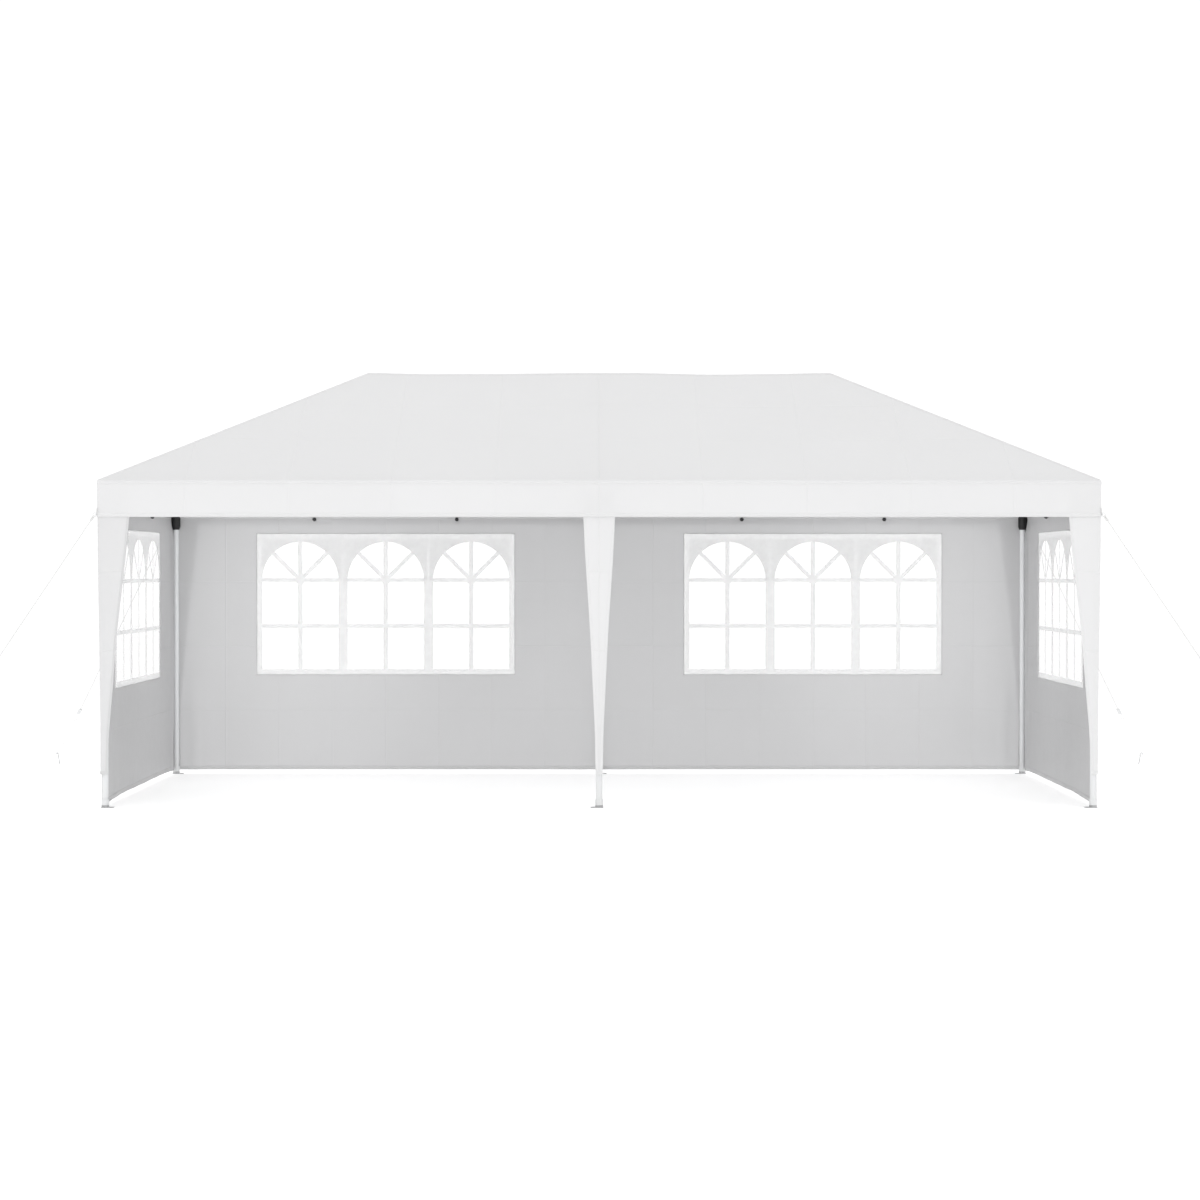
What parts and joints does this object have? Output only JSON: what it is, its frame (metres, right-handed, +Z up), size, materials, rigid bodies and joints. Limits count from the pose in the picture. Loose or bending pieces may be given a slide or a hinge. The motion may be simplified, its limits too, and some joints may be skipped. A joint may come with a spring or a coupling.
{
  "type": "marquee tent",
  "caption": "Long white frame party tent with a hipped cloth roof, tapered leg covers, an open front, walls with arched three-light windows and guy ropes at its corners.",
  "frame": {"origin": "on the ground under the middle of the tent", "axes": "+X along the tent's length to the right of someone facing its open front, +Y to the back, +Z up"},
  "size_m": [7.999, 4.999, 2.7],
  "materials": {
    "white_steel": "satin powder coat",
    "black_plastic": "moulded",
    "zinc": "zinc plated",
    "roof_cloth": "woven polyethylene, smooth coated",
    "wall_cloth": "woven polyethylene, smooth coated",
    "clear_film": "clear film",
    "rope_yarn": "braided"
  },
  "bodies": {
    "root": {"back_wall_left": "wall_cloth", "back_wall_right": "wall_cloth", "back_window_left": "clear_film", "back_window_right": "clear_film", "corner_joint_back_left": "black_plastic", "corner_joint_back_right": "black_plastic", "corner_joint_front_left": "black_plastic", "corner_joint_front_right": "black_plastic", "eave_rail_back_left": "white_steel", "eave_rail_back_right": "white_steel", "eave_rail_end_left": "white_steel", "eave_rail_end_right": "white_steel", "eave_rail_front_left": "white_steel", "eave_rail_front_right": "white_steel", "end_wall_left": "wall_cloth", "end_wall_right": "wall_cloth", "end_window_left": "clear_film", "end_window_right": "clear_film", "foot_back_left": "zinc", "foot_back_middle": "zinc", "foot_back_right": "zinc", "foot_front_left": "zinc", "foot_front_middle": "zinc", "foot_front_right": "zinc", "guy_rope_back_left": "rope_yarn", "guy_rope_back_right": "rope_yarn", "guy_rope_front_left": "rope_yarn", "guy_rope_front_right": "rope_yarn", "hip_rafter_back_left": "white_steel", "hip_rafter_back_right": "white_steel", "hip_rafter_front_left": "white_steel", "hip_rafter_front_right": "white_steel", "leg_back_left": "white_steel", "leg_back_middle": "white_steel", "leg_back_right": "white_steel", "leg_cover_back_left": "roof_cloth", "leg_cover_back_middle": "roof_cloth", "leg_cover_back_right": "roof_cloth", "leg_cover_front_left": "roof_cloth", "leg_cover_front_middle": "roof_cloth", "leg_cover_front_right": "roof_cloth", "leg_front_left": "white_steel", "leg_front_middle": "white_steel", "leg_front_right": "white_steel", "peg_back_left": "zinc", "peg_back_right": "zinc", "peg_front_left": "zinc", "peg_front_right": "zinc", "ridge_joint_left": "black_plastic", "ridge_joint_middle": "black_plastic", "ridge_joint_right": "black_plastic", "ridge_tube_left": "white_steel", "ridge_tube_right": "white_steel", "roof_cover": "roof_cloth", "side_joint_back": "black_plastic", "side_joint_front": "black_plastic", "side_rafter_back": "white_steel", "side_rafter_front": "white_steel"}
  },
  "joints": []
}
